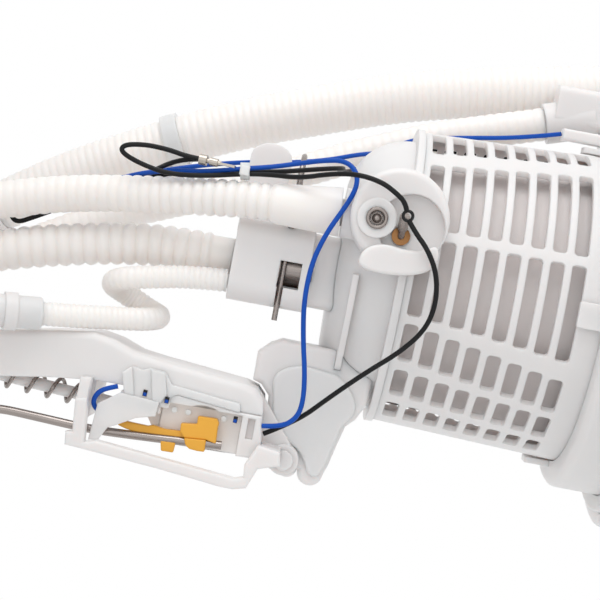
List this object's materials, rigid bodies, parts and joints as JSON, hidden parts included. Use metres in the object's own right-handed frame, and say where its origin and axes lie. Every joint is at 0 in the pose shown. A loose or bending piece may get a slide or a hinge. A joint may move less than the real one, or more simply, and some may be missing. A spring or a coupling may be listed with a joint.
{
  "type": "fuel pump module",
  "caption": "In-tank fuel pump module with a slotted filter cage under its flange, corrugated hoses, a pressure regulator and a float level sender on a hinged, sprung arm.",
  "frame": {"origin": "centre of the flange's under face, which seats on the tank", "axes": "+Z along the module's axis, up and out of the tank; -Y is the side that the picture shows, and +X the side of the level sender"},
  "size_m": [0.1877, 0.1507, 0.3251],
  "materials": {
    "white_plastic": "satin white acetal",
    "arm_plastic": "satin white acetal",
    "hose_nylon": "milky natural nylon, slightly translucent",
    "tie_nylon": "satin white nylon",
    "seal_rubber": "matte black rubber",
    "filter_paper": "pleated cellulose paper",
    "bright_steel": "drawn bright steel",
    "pump_steel": "zinc plated sheet steel",
    "brass_parts": "turned brass",
    "tinned_contact": "tin plated",
    "dark_magnet": "sintered ferrite",
    "carbon_black": "pressed carbon",
    "copper_ring": "bare copper segments",
    "impeller_plastic": "moulded brown-black resin",
    "card_ceramic": "fired ceramic",
    "yellow_plastic": "glossy moulded plastic",
    "float_foam": "closed-cell nitrile foam",
    "blue_insulation": "smooth lead insulation",
    "black_insulation": "smooth lead insulation"
  },
  "bodies": {
    "module": {"flange_cover": "white_plastic", "filter_cage": "white_plastic", "filter_canister": "white_plastic", "canister_lid": "white_plastic", "end_cap": "white_plastic", "regulator_block": "white_plastic", "arm_bracket": "white_plastic", "pivot_pin": "white_plastic", "neck_coupling": "white_plastic", "transfer_coupling": "white_plastic", "transfer_connector": "white_plastic", "jet_connector": "white_plastic", "lead_sleeve": "white_plastic", "outlet_cover": "white_plastic", "inlet_cover": "white_plastic", "pump_midplate": "white_plastic", "brush_carrier": "white_plastic", "outlet_hose": "hose_nylon", "return_hose": "hose_nylon", "transfer_hose": "hose_nylon", "jet_hose": "hose_nylon", "hose_strap": "tie_nylon", "cable_tie": "tie_nylon", "flange_seal": "seal_rubber", "pump_sleeve": "seal_rubber", "regulator_seals": "seal_rubber", "filter_element": "filter_paper", "boss_screw": "bright_steel", "earth_stud": "bright_steel", "hairpin_clip": "bright_steel", "pressure_regulator": "bright_steel", "pump_case": "pump_steel", "stud_bush": "brass_parts", "connector_pins": "tinned_contact", "crimp_terminal": "tinned_contact", "pump_magnets": "dark_magnet", "motor_brushes": "carbon_black", "blue_lead": "blue_insulation", "earth_lead": "black_insulation", "tank_lead": "black_insulation", "flange_lead": "black_insulation"},
    "sender_carrier": {"swing_arm": "arm_plastic", "guard_frame": "arm_plastic", "sender_housing": "arm_plastic", "sender_cover": "arm_plastic", "resistor_card": "card_ceramic", "card_rivets": "brass_parts", "sender_tail": "blue_insulation", "foot_spring": "bright_steel"},
    "float_swing": {"float_holder": "yellow_plastic", "float_arm": "bright_steel", "float_body": "float_foam"},
    "foot": {"spring_foot": "arm_plastic"},
    "pump_rotor": {"armature": "pump_steel", "commutator": "copper_ring", "rotor_shaft": "bright_steel", "impeller": "impeller_plastic"},
    "check_valve": {"valve_poppet": "impeller_plastic"}
  },
  "joints": [
    {"name": "carrier_hinge", "type": "hinge", "parent": "module", "child": "sender_carrier", "pos_m": [0.066, -0.033, -0.1105], "axis": [0, -1, 0], "range_deg": [0, 40]},
    {"name": "float_hinge", "type": "hinge", "parent": "sender_carrier", "child": "float_swing", "pos_m": [0.0625, -0.045, -0.1376], "axis": [0, -1, 0], "range_deg": [0, 68]},
    {"name": "foot_slide", "type": "slide", "parent": "sender_carrier", "child": "foot", "axis": [0.061, 0, 0.9981], "range_m": [0, 0.014], "stiffness_N_per_m": 300, "springref_m": -0.01, "deforming": ["foot_spring"]},
    {"name": "rotor_spin", "type": "hinge", "parent": "module", "child": "pump_rotor", "pos_m": [0, 0, -0.07], "axis": [0, 0, 1], "continuous": true},
    {"name": "valve_lift", "type": "slide", "parent": "module", "child": "check_valve", "axis": [0, 0, 1], "range_m": [0, 0.002], "stiffness_N_per_m": 60, "springref_m": -0.003}
  ]
}
